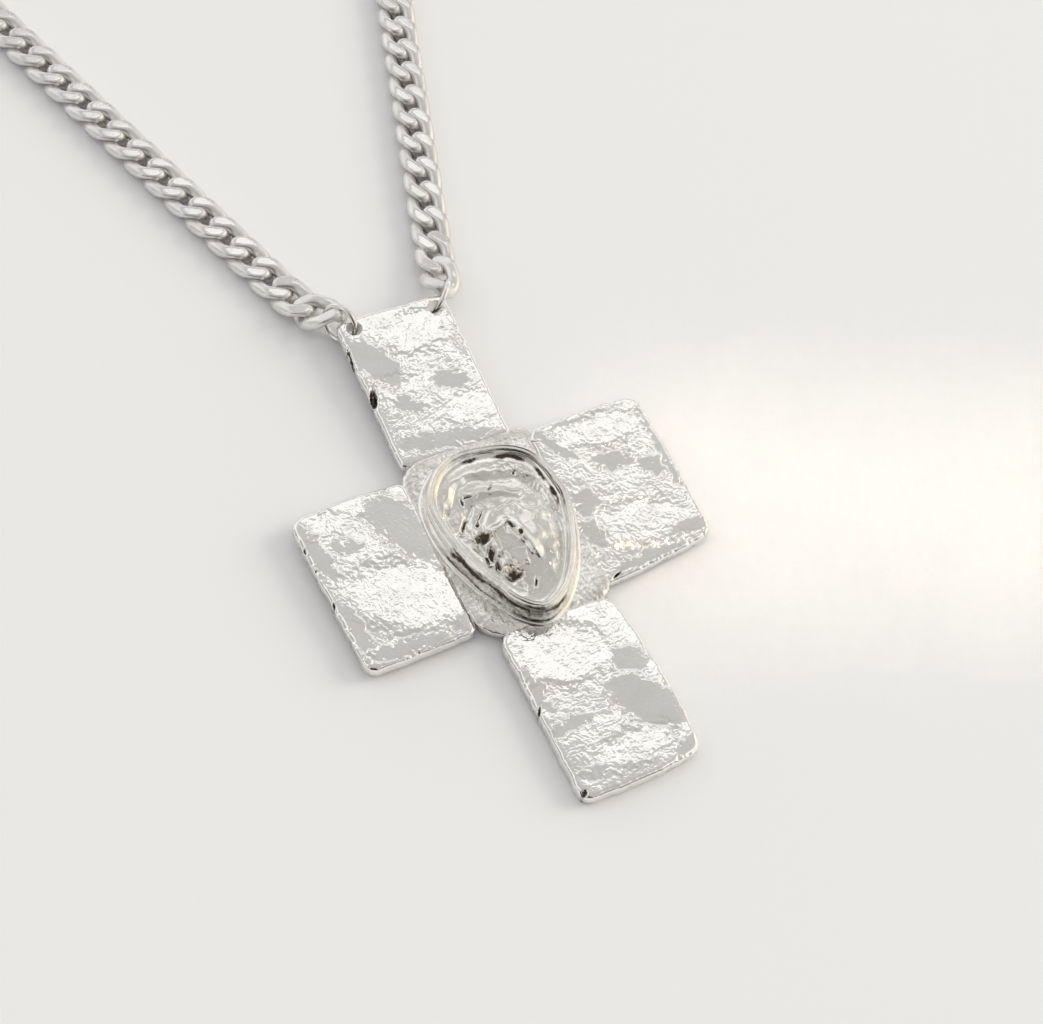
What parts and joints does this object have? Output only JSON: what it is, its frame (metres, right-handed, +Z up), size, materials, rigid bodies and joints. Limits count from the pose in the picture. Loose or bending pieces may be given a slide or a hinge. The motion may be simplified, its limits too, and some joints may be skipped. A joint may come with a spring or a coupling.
{
  "type": "cross necklace",
  "caption": "Hammered silver cross pendant with an egg-shaped rim round a molten centre, hung by jump rings from a flattened curb chain that lies as a whole loop.",
  "frame": {"origin": "on the surface that the necklace lies on, under the middle of its bounding box", "axes": "+Y from the foot of the cross to the clasp, +X across the cross to its right arm, +Z up from the surface, out of the front of the cross"},
  "size_m": [0.1032, 0.242, 0.0048],
  "materials": {
    "hammered_silver": "bright silver, reticulated and hammered, with darker tarnish in its hollows",
    "polished_silver": "silver wire, lightly brushed on its flats"
  },
  "bodies": {
    "root": {"cross": "hammered_silver", "ring_left": "polished_silver", "ring_right": "polished_silver", "chain_left": "polished_silver", "chain_right": "polished_silver", "clasp": "polished_silver"}
  },
  "joints": []
}
